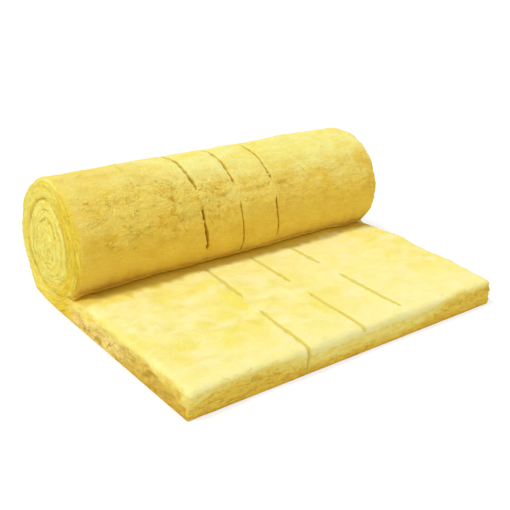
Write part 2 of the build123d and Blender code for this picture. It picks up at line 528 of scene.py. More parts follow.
def add_end(wool, boundary, side):
    """Fills one end of the sheet with triangles."""
    outline = np.array([wool.places[i][1:] for i in boundary])
    points = [tuple(place) for place in outline] + end_points(outline)
    ring = list(range(len(boundary)))
    found = geometry.delaunay_2d_cdt([Vector(p) for p in points], [], [ring], 1, 1e-7)
    places, faces, sources = found[0], found[2], found[3]
    numbers = []
    for place, source in zip(places, sources):
        if source and source[0] < len(boundary):
            numbers.append(boundary[source[0]])
            continue
        facing = Vector((side, 0, 0))
        place = Vector((side * HALF_WIDTH, *place))
        numbers.append(wool.add(place, facing, skin=1.0, deep=0.0, end=1.0, stretch="end"))
    for face in faces:
        corners = [numbers[i] for i in face]
        wool.faces.append(tuple(corners if side > 0 else corners[::-1]))


def store(mesh, name, values, kind="FLOAT"):
    """Keeps one value for each vertex on the mesh, under a name."""
    layer = mesh.attributes.new(name, kind, "POINT")
    held = "vector" if kind == "FLOAT_VECTOR" else "value"
    layer.data.foreach_set(held, np.asarray(values, np.float32).ravel())


def drift(places, lengths, start):
    """A slow random value from -1 to 1 at each place, whose lumps are so long along each axis."""
    counted = np.asarray(places) / lengths + start
    return np.array([noise.noise(Vector(place)) for place in counted])


def end_winding(places):
    """Where each place on an end lies in the winding, whose inner turns wander from a true spiral."""
    _, y, z = places.T
    reach = np.hypot(AXIS_Y - y, EYE_Z - z)
    inner = 1 - smooth(0.080, 0.125, reach)
    lengths = (1.0, 0.038, 0.038)
    warped = np.array(places)
    warped[:, 1] += TURN_WANDER * inner * drift(places, lengths, (0.2, 3.7, 1.1))
    warped[:, 2] += TURN_WANDER * inner * drift(places, lengths, (0.6, 8.1, 5.3))
    return np.array([wound(*place[1:]) for place in warped]).T


def bridge_spots(x, angle):
    """1 at the middle of each bridge of whole wool between the dashes on the roll, and 0 away from it."""
    spots = np.zeros(len(x))
    for cut in CUTS:
        for centre in ROLL_BRIDGES:
            up = np.radians(angle - centre - cut.stagger) * ROLL_RADIUS
            spot = np.exp(-(((x - cut.roll_x) / 0.019) ** 2) - (up / 0.014) ** 2)
            spots = np.maximum(spots, spot if centre == ROLL_BRIDGES[0] else 0.3 * spot)
    return spots


def ledge(x, angle):
    """The torn ledge on the roll's front: its height, and how near each place is to it."""
    across = np.stack([x, x * 0, x * 0], axis=1)
    line = LEDGE_ANGLE + LEDGE_CLIMB * smooth(-0.20, -0.33, x)
    line = line + 4 * drift(across, (0.035, 1, 1), (0, 2, 9))
    above = np.radians(angle - line) * ROLL_RADIUS
    along = smooth(-0.42, -0.31, x) * (1 - smooth(0.14, 0.22, x))
    along = along * np.clip(0.6 + 1.3 * drift(across, (0.045, 1, 1), (5, 4, 1)), 0.1, 1)
    height = np.exp(-(((above - 0.003) / 0.006) ** 2)) - 0.7 * np.exp(-(((above + 0.008) / 0.007) ** 2))
    return LEDGE_HEIGHT * height * along, np.exp(-((above / 0.012) ** 2)) * along


class Surface:
    """All the blanket's vertices at once: where each is, on the roll, on its ends and from the crease."""

    def __init__(self, wool):
        self.places = np.array(wool.places)
        self.x, self.y, self.z = self.places.T
        self.stretch = np.array(wool.marks["stretch"])
        self.end = np.array(wool.marks["end"])
        angle = np.degrees(np.arctan2(self.z - AXIS_Z, AXIS_Y - self.y))
        self.angle = np.where(angle < -90, angle + 360, angle)
        self.on_edge = self.stretch == "edge"
        self.wound_skin = (self.stretch == "roll") * (1 - self.end)
        above_laid = smooth(THICKNESS - 0.003, THICKNESS + 0.003, self.z)
        behind_crease = smooth(CREASE_Y - 0.01, CREASE_Y + 0.05, self.y)
        self.in_roll = np.maximum(above_laid, behind_crease)
        self.on_end = smooth(0.0, 0.45, self.end) * self.in_roll
        self.from_crease = np.hypot(self.y - CREASE_Y, self.z - THICKNESS)
        self.by_crease = np.exp(-((self.from_crease / 0.040) ** 2))
        self.clouds = drift(self.places, (0.10, 0.05, 0.05), (4, 1, 7))
        near_floor = 0.15 + 0.85 * smooth(0.002, 0.030, self.z)
        self.skin = np.array(wool.marks["skin"]) * np.where((self.end > 0) | self.on_edge, near_floor, 1.0)


def edge_marks(at):
    """The blanket's own edges: the brow where its skin turns down over them, and the cut layers below."""
    near_corner = np.exp(-(((at.x + HALF_WIDTH) ** 2 + (at.y - EDGE_Y) ** 2) / CORNER_DRAPE_REACH**2))
    over_front = (0.010 + 0.032 * smooth(-0.34, -0.14, at.x)) * smooth(0.40, 0.24, at.x)
    over_side = 0.004 + 0.018 * smooth(-0.36, 0.02, at.y)
    uneven = np.where(at.on_edge, 0.006, 0.011) * drift(at.places, (0.05, 0.03, 0.02), (1, 6, 2))
    draped = np.where(at.on_edge, over_front, over_side) - uneven
    draped = draped - 0.005 * drift(at.places, (0.014, 0.014, 0.010), (3, 2, 8))
    draped = draped + CORNER_DRAPE * near_corner
    outside = np.where(at.on_edge, 1.0, at.end - at.on_end)
    side = np.where(at.on_edge, 0.0, at.end - at.end * at.in_roll)
    below = THICKNESS - at.z
    return {
        "brow": outside * smooth(-0.003, 0.010, below - 0.4 * draped),
        "cut_edge": outside * smooth(0.000, 0.026, below - draped),
        "side": side * smooth(0.0, 0.02, below),
        "fore": smooth(-0.06, -0.28, at.y),
    }


def torn_front(at, bridges, near_ledge):
    """How torn the roll's front is: in a band that climbs to the left, at the bridges and on the ledge."""
    wavy = at.angle + 14 * at.clouds
    climb = TORN_CLIMB * smooth(-0.16, -0.30, at.x)
    torn = smooth(6, 32, wavy) * smooth(84 + climb, 44 + climb, wavy)
    torn = torn * smooth(-0.57, -0.47, at.x) * (1 - 0.65 * smooth(50, 72, at.angle))
    whole_right = 1 - 0.75 * smooth(-0.18, 0.10, at.x + 0.05 * at.clouds)
    torn = torn * whole_right * np.clip(0.80 + 0.9 * at.clouds, 0.3, 1)
    return np.maximum(torn, np.maximum(bridges, 0.8 * near_ledge)) * at.wound_skin


def streaked_front(at, torn):
    """How streaked the roll's skin is where it isn't torn, mostly low on its front and to the right."""
    right = 0.3 + 0.7 * smooth(-0.12, 0.12, at.x)
    band = (0.25 + 0.75 * smooth(4, 22, at.angle)) * (1 - 0.8 * smooth(40, 60, at.angle))
    return at.wound_skin * right * band * (1 - 0.7 * torn)


def rings(at):
    """How plain the two shallow rings near the roll's right end are, which fade here and there."""
    wavering = 0.020 * drift(at.places, (0.05, 0.05, 0.04), (6, 2, 2))
    both = [np.exp(-(((at.x - place + wavering) / RING_WIDTH) ** 2)) for place in RING_PLACES]
    faded = smooth(66, 40, at.angle) * np.clip(0.8 + 1.6 * at.clouds, 0, 1)
    return np.max(both, axis=0) * at.wound_skin * faded


def seam_groove(at, round_way, first_coil, coil, gap):
    """How far the seam between the turns stands open, which changes along it and is most at the crease."""
    around = np.stack([coil, *round_way], axis=1)
    outer = np.exp(-(first_coil / 0.5) ** 2)
    openness = np.clip(0.34 + 0.9 * drift(around, 1, 0) + 0.40 * outer, 0.04, 1.1)
    return np.exp(-((gap / SEAM_WIDTH) ** 2)) * np.maximum(openness, 1.4 * at.by_crease)


def crease_marks(at, groove):
    """The crease's painted brown shade on the roll and in the seam's mouth, and the roll's painted shadow on
    the laid wool before it.
    """
    wander = 1 + 0.45 * drift(at.places, (0.03, 1, 1), (2, 2, 2))
    # Painted shade: brown on the roll just above the crease, fading upwards and stronger at the right, and
    # in the seam's mouth near the crease.
    fading = np.exp(-at.from_crease / (CREASE_SHADE_REACH * wander))
    shade = CREASE_SHADE * fading * smooth(0, 0.010, at.from_crease)
    shade = shade * (0.95 + 0.40 * smooth(-0.22, -0.36, at.x) + 0.95 * smooth(0.08, 0.24, at.x))
    at_mouth = np.clip(0.7 * groove * at.by_crease * at.on_end, 0, 0.8)
    # Painted shadow: the laid wool before the crease is coloured deeper where the roll's shadow falls, in a
    # band wider at the left and narrower at the right.
    wider = 1 - 0.36 * smooth(-0.16, -0.36, at.x) + 0.40 * smooth(0.18, 0.36, at.x)
    beyond = smooth(*ROLL_PAINTED_SHADOW_WIDTH, at.from_crease * wander * wider)
    return {
        "crease": np.maximum(shade * at.wound_skin, at_mouth),
        "pressed": (at.stretch == "laid") * (1 - at.end) * (1 - beyond),
    }


def loose_marks(at, torn, cut_edge):
    """Where flakes and strands stand: on torn wool, where cuts meet the crease, and some on the edges."""
    at_crease = np.exp(-((at.from_crease / 0.009) ** 2)) * (at.stretch == "roll")
    ends = [mix((cut.crease_x, cut.roll_x), 0.5) for cut in CUTS[1:]]
    at_cuts = sum(np.exp(-(((at.x - end) / 0.006) ** 2)) for end in ends)
    flaky = np.clip(1.3 * torn - 0.25, 0, 1) + 0.07 * cut_edge * smooth(0.02, 0.06, at.z)
    flaky = flaky + 7 * at_crease * at_cuts
    fringe = 0.25 * (at.end > 0.3) * (at.end < 0.95) + 0.2 * at.on_edge * (at.z > 0.06) + 0.7 * at_crease
    shown = at.skin > 0.3
    return {"flaky": flaky * shown, "stray": np.clip(0.5 * torn + fringe, 0, 1) * shown}


def stains(at):
    """How much of the binder's drops has soaked in at each place."""
    drops = [
        np.exp(-(((at.x - place) / STAIN_WIDTH) ** 2) - ((at.angle - turn) / STAIN_TURN) ** 2)
        for place, turn in STAINS
    ]
    return np.clip(np.max(drops, axis=0) * (1 + at.clouds), 0, 1) * (at.stretch == "roll")


def mark_blanket(mesh, wool):
    """Stores what the relief and the finish need to know at each vertex."""
    at = Surface(wool)
    bridges = bridge_spots(at.x, at.angle)
    ledge_height, near_ledge = ledge(at.x, at.angle)
    torn = torn_front(at, bridges, near_ledge)
    ringed = rings(at)
    way, coil, gap = end_winding(at.places)
    round_way = np.cos(np.radians(way)) * LUMPS_A_TURN, np.sin(np.radians(way)) * LUMPS_A_TURN
    first_coil = coil - way / 360
    groove = seam_groove(at, round_way, first_coil, coil, gap)
    ridge = (-SEAM_DEPTH * groove - INNER_TURNS_SET_BACK * smooth(0.2, 0.5, coil)) * at.end * at.in_roll
    ridge += (ledge_height + BRIDGE_LUMP * bridges) * at.wound_skin
    ridge -= RING_DEPTH * ringed
    outer_turn = 1 - smooth(-0.22, 0.06, first_coil - (way < 90))
    patchy = 0.30 + 0.70 * (1 - smooth(-0.15, 0.20, at.x)) + 0.60 * smooth(0.33, 0.50, at.x)
    marks = {
        "skin": at.skin * (1 - 0.35 * at.on_end),
        # How far down a cut each vertex lies, which steers the cuts' painted shade.
        "deep": smooth(0.0, 0.35, np.array(wool.marks["deep"])),
        "roll_face": np.isin(at.stretch, ("roll", "crease", "base")),
        "roll_end": at.on_end,
        "outer_turn": outer_turn * (0.20 + 0.80 * smooth(AXIS_Y + 0.02, AXIS_Y - 0.12, at.y)),
        # How much painted shade darkens the two shallow rings.
        "ringed": 0.6 * ringed,
        # How far the roll's crown is painted pale as if lit: less towards the left end.
        "bleached": 0.68 + 0.32 * smooth(-0.50, -0.05, at.x),
        "stained": stains(at),
        "torn": torn,
        "streaked": streaked_front(at, torn),
        # How much painted shade darkens the seam between the turns.
        "seam": groove * at.on_end,
        "ridge": ridge,
        "patchy": patchy * (0.20 + 0.80 * smooth(0.02, 0.16, at.y - EDGE_Y)),
        "angle": np.where(at.stretch == "roll", at.angle, 90),
    }
    marks.update(edge_marks(at))
    marks.update(crease_marks(at, groove))
    marks.update(loose_marks(at, torn, marks["cut_edge"]))
    for name, values in marks.items():
        store(mesh, name, values)
    store(mesh, "out", wool.outs, "FLOAT_VECTOR")
    store(mesh, "turns", np.stack([*round_way, coil * LUMPS_A_COIL], axis=1), "FLOAT_VECTOR")


def add(tree, kind, inputs=None, **settings):
    """Adds a node, with its settings and what feeds its sockets: values, sockets or nodes' first outputs."""
    made = tree.nodes.new(kind)
    for name, value in settings.items():
        setattr(made, name, value)
    for key, value in (inputs or {}).items():
        if isinstance(key, int):
            socket = made.inputs[key]
        else:
            socket = next(s for s in made.inputs if s.name == key and s.enabled)
        if isinstance(value, bpy.types.Node):
            value = next(s for s in value.outputs if s.enabled)
        if isinstance(value, bpy.types.NodeSocket):
            tree.links.new(value, socket)
        else:
            socket.default_value = value
    return made


def emptied(owner):
    """The node tree of a material or a world, with no nodes left in it."""
    owner.use_nodes = True
    owner.node_tree.nodes.clear()
    return owner.node_tree


def new_piece(name, data):
    """A new object in the scene."""
    piece = bpy.data.objects.new(name, data)
    bpy.context.scene.collection.objects.link(piece)
    return piece


def geometry_tree(name, sizes):
    """An empty Geometry Nodes tree that takes a mesh and the named sizes."""
    tree = bpy.data.node_groups.new(name, "GeometryNodeTree")
    tree.interface.new_socket("Geometry", in_out="INPUT", socket_type="NodeSocketGeometry")
    tree.interface.new_socket("Geometry", in_out="OUTPUT", socket_type="NodeSocketGeometry")
    for size, value in sizes.items():
        kind = "NodeSocketVector" if isinstance(value, tuple) else "NodeSocketFloat"
        tree.interface.new_socket(size, in_out="INPUT", socket_type=kind)
    return tree, add(tree, "NodeGroupInput")


def coat_result(tree, shape, coat):
    """Ends a Geometry Nodes tree with a shape in its material."""
    coated = add(tree, "GeometryNodeSetMaterial", {"Geometry": shape, "Material": coat})
    add(tree, "NodeGroupOutput", {"Geometry": coated})


def run_tree(piece, tree, sizes):
    """Runs a Geometry Nodes tree on a piece and keeps the result as its plain mesh."""
    modifier = piece.modifiers.new(tree.name, "NODES")
    modifier.node_group = tree
    for item in tree.interface.items_tree:
        if item.in_out == "INPUT" and item.name in sizes:
            modifier[item.identifier] = sizes[item.name]
    depsgraph = bpy.context.evaluated_depsgraph_get()
    plain = bpy.data.meshes.new_from_object(
        piece.evaluated_get(depsgraph), preserve_all_data_layers=True, depsgraph=depsgraph
    )
    piece.modifiers.remove(modifier)
    rough, piece.data = piece.data, plain
    bpy.data.meshes.remove(rough)


@dataclass
class Relief:
    """One layer of the wool's relief: where it lies, how long its lumps are, and how high they stand."""

    name: str
    mark: str
    lengths: tuple
    height: float
    detail: float = 2.0
    twist: float = 0.0
    along_turns: bool = False


RELIEFS = (
    Relief("Sag", "skin", (0.30, 0.20, 0.20), 0.0030, detail=1),
    Relief("Lumps", "skin", (0.075, 0.050, 0.050), 0.0022),
    Relief("Grain", "roll_face", (0.020, 0.014, 0.014), 0.0008, detail=3, twist=0.6),
    Relief("Side lumps", "side", (0.030, 0.034, 0.024), 0.0040, detail=1, twist=0.5),
    Relief("Torn wool", "torn", (0.030, 0.020, 0.020), 0.0034, detail=3, twist=0.8),
    Relief("Roll streaks", "streaked", (0.055, 0.016, 0.016), 0.0017, detail=2, twist=0.3),
    Relief("Ragged crease", "crease", (0.032, 0.060, 0.060), 0.0050),
    Relief("Wavy edge", "cut_edge", (0.060, 0.060, 0.040), 0.0034),
    Relief("Edge lumps", "cut_edge", (0.032, 0.032, 0.017), 0.0028, detail=2, twist=1.0),
    Relief("End lumps", "roll_end", (0.030, 0.024, 0.030), 0.0026, detail=2, twist=0.9),
    Relief("Turn layers", "roll_end", (1.0, 1.0, 1.0), 0.0030, detail=2, twist=0.6, along_turns=True),
)


def raise_relief(piece):
    """Moves the wool's surface in and out by the layers of relief and the seam between the turns."""
    sizes = {}
    for layer in RELIEFS:
        sizes[f"{layer.name} length"] = layer.lengths
        sizes[f"{layer.name} height"] = layer.height
    tree, given = geometry_tree("wool_relief", sizes)
    position = add(tree, "GeometryNodeInputPosition")
    turns, out = (
        add(tree, "GeometryNodeInputNamedAttribute", {"Name": name}, data_type="FLOAT_VECTOR")
        for name in ("turns", "out")
    )
    mark = {
        name: add(tree, "GeometryNodeInputNamedAttribute", {"Name": name}, data_type="FLOAT")
        for name in sorted({"ridge", "skin", *(layer.mark for layer in RELIEFS)})
    }
    total = mark["ridge"]
    for number, layer in enumerate(RELIEFS):
        where = turns if layer.along_turns else position
        counted = add(tree, "ShaderNodeVectorMath", {0: where, 1: given.outputs[f"{layer.name} length"]},
                      operation="DIVIDE")
        placed = add(tree, "ShaderNodeVectorMath", {0: counted, 1: (7.3 * number, 3.1 * number, 5.7)},
                     operation="ADD")
        lumps = add(tree, "ShaderNodeTexNoise",
                    {"Vector": placed, "Scale": 1.0, "Detail": layer.detail, "Distortion": layer.twist})
        signed = add(tree, "ShaderNodeMapRange",
                     {"Value": lumps, "From Min": 0.3, "From Max": 0.7, "To Min": -1.0, "To Max": 1.0},
                     clamp=False)
        high = add(tree, "ShaderNodeMath", {0: signed, 1: given.outputs[f"{layer.name} height"]},
                   operation="MULTIPLY")
        total = add(tree, "ShaderNodeMath", {0: high, 1: mark[layer.mark], 2: total},
                    operation="MULTIPLY_ADD")
    height = add(tree, "ShaderNodeMath", {0: total, 1: mark["skin"]}, operation="MULTIPLY")
    shift = add(tree, "ShaderNodeVectorMath", {0: out, "Scale": height}, operation="SCALE")
    kept = add(tree, "GeometryNodeStoreNamedAttribute",
               {"Geometry": given.outputs["Geometry"], "Name": "relief", "Value": height},
               data_type="FLOAT", domain="POINT")
    moved = add(tree, "GeometryNodeSetPosition", {"Geometry": kept, "Offset": shift})
    whole = add(tree, "GeometryNodeRealizeInstances", {"Geometry": moved})
    coat_result(tree, whole, piece.data.materials[0])
    run_tree(piece, tree, sizes)


SEEN_MARKS = (
    "roll_face", "cut_edge", "roll_end", "outer_turn", "ringed", "side", "fore", "seam", "deep", "crease",
    "pressed", "patchy", "brow", "bleached", "stained", "angle", "relief", "torn", "streaked", "loose",
)


def linear(hex_colour):
    """An sRGB hex colour as linear RGBA."""
    parts = [int(hex_colour[i:i + 2], 16) / 255 for i in (1, 3, 5)]
    return (*[c / 12.92 if c <= 0.04045 else ((c + 0.055) / 1.055) ** 2.4 for c in parts], 1.0)


class Finish:
    """The wool's finish in the making: its nodes, the blanket's marks, and the patterns that they steer."""

    def __init__(self, tree):
        self.tree = tree
        self.mark = {
            name: add(tree, "ShaderNodeAttribute", attribute_name=name).outputs["Fac"] for name in SEEN_MARKS
        }
        self.place = add(tree, "ShaderNodeTexCoord").outputs["Object"]
        self.turns = add(tree, "ShaderNodeAttribute", attribute_name="turns").outputs["Vector"]
        self.pits = self.patches((0.013, 0.008, 0.008), 3, 1.4, 0.36, 0.66, (6, 6, 6))
        self.layers = self.patches((0.056, 0.056, 0.0120), 3, 0.9, 0.30, 0.70, (5, 5, 0))
        self.lines = self.patches((1.0, 1.0, 1.0), 3, 0.7, 0.36, 0.64, (0, 0, 4), self.turns)

    def cloud(self, lengths, detail, twist, start, where=None):
        """A random value near 0.5 whose lumps have lengths along each axis given in metres."""
        counted = add(self.tree, "ShaderNodeVectorMath", {0: where or self.place, 1: lengths},
                      operation="DIVIDE")
        shifted = add(self.tree, "ShaderNodeVectorMath", {0: counted, 1: start}, operation="ADD")
        return add(self.tree, "ShaderNodeTexNoise",
                   {"Vector": shifted, "Scale": 1.0, "Detail": detail, "Distortion": twist})

    def patches(self, lengths, detail, twist, low, high, start=(0, 0, 0), where=None, share=1.0):
        """Soft patches, from 0 to a share of 1."""
        lumps = self.cloud(lengths, detail, twist, start, where)
        ranged = add(self.tree, "ShaderNodeMapRange", {"Value": lumps, "From Min": low, "From Max": high})
        return add(self.tree, "ShaderNodeMath", {0: ranged, 1: share}, operation="MULTIPLY")

    def fissures(self, lengths, width, start, where=None, share=1.0):
        """Fine wavering lines, along which a random value passes its middle, from 0 to a share of 1."""
        lumps = self.cloud(lengths, 3, 0.7, start, where)
        away = add(self.tree, "ShaderNodeMath", {0: lumps, 1: 0.5}, operation="SUBTRACT")
        away = add(self.tree, "ShaderNodeMath", {0: away}, operation="ABSOLUTE")
        ranged = add(self.tree, "ShaderNodeMapRange", {"Value": away, "From Min": width, "From Max": 0.0})
        return add(self.tree, "ShaderNodeMath", {0: ranged, 1: share}, operation="MULTIPLY")

    def layered(self, colour, *layers):
        """Colours laid one over another, each as far as its share says."""
        for share, over in layers:
            over = linear(over) if isinstance(over, str) else over
            colour = add(self.tree, "ShaderNodeMix", {"Factor": share, "A": colour, "B": over},
                         data_type="RGBA")
        return colour


def laid_colour(look):
    """The laid face: brushed smooth and pale lemon, deeper in soft patches, and deeper gold before the
    crease as the roll's painted shadow.
    """
    combed = look.patches((0.05, 0.04, 0.04), 3, 0.5, 0.45, 0.75, (3, 9, 1))
    soft = look.patches((0.13, 0.09, 0.09), 4, 0.8, 0.40, 0.66, share=look.mark["patchy"])
    fleck = look.patches((0.060, 0.045, 0.045), 2, 0.3, 0.46, 0.86, (8, 2, 5), share=look.mark["patchy"])
    # The last layer is the roll's painted shadow on the laid wool.
    return look.layered(linear("#FDF1A2"), (combed, "#FEF5B4"), (soft, "#F9E970"), (fleck, "#F1DF62"),
                        (look.mark["pressed"], "#E4C856"))


def roll_colour(look):
    """The roll's face, streaked round: gold low down and pale over its crown as painted light and shade, and
    pitted where torn, with painted shade in the pits.
    """
    tree, mark = look.tree, look.mark
    clouds = look.patches((0.10, 0.06, 0.06), 4, 0.8, 0.3, 0.7, (2, 7, 3))
    mottle = look.patches((0.042, 0.019, 0.019), 4, 1.0, 0.40, 0.66, (3, 1, 6))
    streaks = look.patches((0.060, 0.010, 0.010), 4, 0.4, 0.32, 0.68, (1, 4, 2), share=mark["streaked"])
    faint = add(tree, "ShaderNodeMath", {0: mottle, 1: 0.5}, operation="MULTIPLY")
    gold = look.layered(linear("#F0C641"), (clouds, "#F9D551"), (streaks, "#FADA60"), (faint, "#FBDA62"))
    pale = look.layered(linear("#FCE86C"), (clouds, "#FFF89C"), (streaks, "#FAE068"), (faint, "#FFF9A8"))
    # Painted light: the pale copy is laid over the gold one as the roll turns up towards its crown, so the
    # crown reads lit and its low front shaded.
    climb = add(tree, "ShaderNodeMath", {0: clouds, 1: 26.0, 2: mark["angle"]}, operation="MULTIPLY_ADD")
    painted_crown_light = add(tree, "ShaderNodeMapRange",
                 {"Value": climb, "From Min": 34.0, "From Max": 70.0, "To Max": mark["bleached"]})

    etched = add(tree, "ShaderNodeMath", {0: mark["streaked"], 1: 0.6}, operation="MULTIPLY")
    grooves = look.fissures((0.055, 0.016, 0.016), 0.070, (2, 5, 9), share=etched)
    scuffs = add(tree, "ShaderNodeMath", {0: mottle, 1: mark["torn"]}, operation="MULTIPLY")
    # Painted shade: darker gold in the pits of the fine bump where the wool is torn, with fine dark rifts in
    # them as painted shade too.
    bare = add(tree, "ShaderNodeMath", {0: 1.0, 1: look.pits}, operation="SUBTRACT")
    pit_painted_shade = add(tree, "ShaderNodeMath", {0: bare, 1: mark["torn"]}, operation="MULTIPLY")
    pit_painted_shade = add(tree, "ShaderNodeMath", {0: pit_painted_shade, 1: 0.45}, operation="MULTIPLY")
    rifts = look.fissures((0.022, 0.017, 0.017), 0.040, (7, 1, 3), share=pit_painted_shade)
    flecks = look.patches((0.016, 0.0070, 0.0070), 2, 0.6, 0.57, 0.68, (1, 1, 8), share=mark["torn"])
    stain = add(tree, "ShaderNodeMath", {0: mark["stained"], 1: 0.6}, operation="MULTIPLY")
    return look.layered(gold, (painted_crown_light, pale), (grooves, "#E2B844"), (pit_painted_shade, "#E6B430"), (scuffs, "#FFDE5E"),
                        (rifts, "#DCAC34"), (flecks, "#FFEC7E"), (stain, "#F2CC44"),
                        # Painted shade: darker gold in the two shallow rings' grooves.
                        (mark["ringed"], "#EBC444"))


def edge_colours(look):
    """The blanket's own edges: a pale brow, and below it gold layers with dark splits between them."""
    speckle = look.patches((0.024, 0.024, 0.013), 2, 1.2, 0.48, 0.76, (9, 3, 4))
    splits = look.fissures((0.060, 0.050, 0.012), 0.036, (4, 8, 2), share=0.70)
    blots = look.patches((0.030, 0.034, 0.022), 2, 0.8, 0.50, 0.68, (2, 8, 3))
    brow = look.layered(linear("#F6E06A"), (look.layers, "#FBEB88"), (speckle, "#EBCB5C"))
    front = look.layered(linear("#EFC846"), (look.layers, "#FADF62"), (speckle, "#E2B848"),
                         (splits, "#CEA23E"))
    flank = look.layered(linear("#F2D56E"), (look.layers, "#FCE89A"), (look.mark["fore"], "#E2C050"),
                         (blots, "#C8A84E"), (splits, "#C6A048"))
    return brow, look.layered(front, (look.mark["side"], flank))


def turns_colour(look):
    """The turns' edges on the roll's ends: lemon inside, gold in the outer turn, and finely layered."""
    threads = look.fissures((1.0, 1.0, 1.0), 0.034, (3, 1, 0), look.turns)
    inner = look.layered(linear("#FFE75A"), (look.lines, "#FFF890"), (threads, "#F0D84E"))
    outer = look.layered(linear("#F0CC32"), (look.lines, "#FFE45C"), (threads, "#D0B432"))
    return look.layered(inner, (look.mark["outer_turn"], outer))


def wool_colour(look):
    """The colour of the whole blanket and its loose wool, with painted shade: darker and browner the deeper
    a gap is, and deeper gold in hollows.
    """
    tree, mark = look.tree, look.mark
    brow, edge = edge_colours(look)
    # Painted shade: the cuts darken with depth, olive in the laid wool and dark brown deep in the roll.
    slit_painted_shade = look.layered(linear("#E4D66E"), (mark["roll_face"], "#66501A"))
    # Painted light and shade on torn wool: paler where its relief stands proud, and darker gold where it is
    # sunk.
    relief_painted_light_and_shade = []
    for far, tint in ((0.006, "#FFE66C"), (-0.007, "#D8A42C")):
        reach = add(tree, "ShaderNodeMapRange", {"Value": mark["relief"], "From Min": 0.0, "From Max": far})
        reach = add(tree, "ShaderNodeMath", {0: reach, 1: mark["torn"]}, operation="MULTIPLY")
        relief_painted_light_and_shade.append((reach, tint))
    colour = look.layered(
        laid_colour(look),
        (mark["roll_face"], roll_colour(look)),
        (mark["brow"], brow),
        (mark["cut_edge"], edge),
        (mark["roll_end"], turns_colour(look)),
        *relief_painted_light_and_shade,
        # Painted shade: darker gold in the seam between the turns on the roll's ends.
        (mark["seam"], "#CBAA34"),
        # Painted shade: brown where the crease shades the roll and the seam's mouth.
        (mark["crease"], "#A87046"),
        (mark["deep"], slit_painted_shade),
        (mark["loose"], "#FFE66C"),
    )
    # Painted shade: the colour is multiplied towards a deeper gold wherever ambient occlusion finds a hollow
    # within 3 cm, as in creases, pits and gaps.
    open_sky = add(tree, "ShaderNodeAmbientOcclusion", {"Distance": 0.03}, samples=6).outputs["AO"]
    hollow_painted_shade = add(tree, "ShaderNodeMapRange", {"Value": open_sky, "From Min": 0.95, "From Max": 0.40})
    return add(tree, "ShaderNodeMix", {"Factor": hollow_painted_shade, "A": colour, "B": linear("#F4E090")},
               data_type="RGBA", blend_type="MULTIPLY")


def wool_grain(look):
    """The height of what is finer than the mesh: grain all over, pits where torn, layers on the edges."""
    tree, mark = look.tree, look.mark
    coarse = add(tree, "ShaderNodeMapRange",
                 {"Value": mark["roll_face"], "To Min": 0.0012, "To Max": 0.0022})
    height = look.patches((0.0080, 0.0055, 0.0055), 4, 0.8, 0.2, 0.8, share=coarse)
    for pattern, where, high in (
        (look.pits, "torn", 0.0014),
        (look.layers, "cut_edge", 0.0016),
        (look.lines, "roll_end", 0.0018),
    ):
        here = add(tree, "ShaderNodeMath", {0: pattern, 1: mark[where]}, operation="MULTIPLY")
        height = add(tree, "ShaderNodeMath", {0: here, 1: high, 2: height}, operation="MULTIPLY_ADD")
    return height


def glass_wool():
    """Glass wool spun from molten glass and laid down as a blanket with a yellow binder.

    The eye sees a matt, slightly glowing mass: pale lemon on the brushed laid face and gold on the roll and
    cut edges, with fine layers on its cut edges. Light and shade are partly painted into its colour: the
    roll pales over its crown, and its hollows, gaps and crease turn brown-gold as painted shade.
    """
    coat = bpy.data.materials.new("glass_wool")
    tree = emptied(coat)
    look = Finish(tree)
    fine = add(tree, "ShaderNodeBump", {"Height": wool_grain(look), "Strength": 1.0, "Distance": 1.0})
    shader = add(tree, "ShaderNodeBsdfPrincipled", {
        "Base Color": wool_colour(look), "Roughness": 0.95, "Normal": fine, "Specular IOR Level": 0.05,
        "Subsurface Weight": 0.15, "Subsurface Radius": (1.0, 0.80, 0.25), "Subsurface Scale": 0.005,
    })
    add(tree, "ShaderNodeOutputMaterial", {"Surface": shader})
    return coat


def blanket(coat):
    """The whole blanket as one piece, which stands for the model's solid."""
    wool = blanket_mesh(outline_rows())
    mesh = bpy.data.meshes.new("glass_wool_roll")
    mesh.from_pydata(wool.places, [], wool.faces)
    mark_blanket(mesh, wool)
    mesh.materials.append(coat)
    mesh.shade_smooth()
    piece = new_piece("glass_wool_roll", mesh)
    raise_relief(piece)
    piece.data.shade_smooth()
    return piece


def scattered(tree, given, mark, kind, lean):
    """Points strewn over the blanket where a mark says so, and a random turn for what stands on each."""
    here = add(tree, "GeometryNodeInputNamedAttribute", {"Name": mark}, data_type="FLOAT")
    density = add(tree, "ShaderNodeMath", {0: here, 1: given.outputs[f"{kind} per square metre"]},
                  operation="MULTIPLY")
    points = add(tree, "GeometryNodeDistributePointsOnFaces",
                 {"Mesh": given.outputs["Geometry"], "Density": density, "Seed": 4})
    upright = add(tree, "FunctionNodeAlignRotationToVector", {"Vector": points.outputs["Normal"]},
                  axis="Z", pivot_axis="X")
    turn = add(tree, "FunctionNodeRandomValue", {"Min": [-a for a in lean], "Max": lean, "Seed": 1},
               data_type="FLOAT_VECTOR")
    turn = add(tree, "FunctionNodeEulerToRotation", {"Euler": turn})
    turned = add(tree, "FunctionNodeRotateRotation", {"Rotation": upright, "Rotate By": turn},
                 rotation_space="LOCAL")
    paleness = add(tree, "FunctionNodeRandomValue", {"Min": 0.0, "Max": 0.6, "Seed": 2}, data_type="FLOAT")
    marked = add(tree, "GeometryNodeStoreNamedAttribute",
                 {"Geometry": points.outputs["Points"], "Name": "loose", "Value": paleness},
                 data_type="FLOAT", domain="POINT")
    return marked, turned


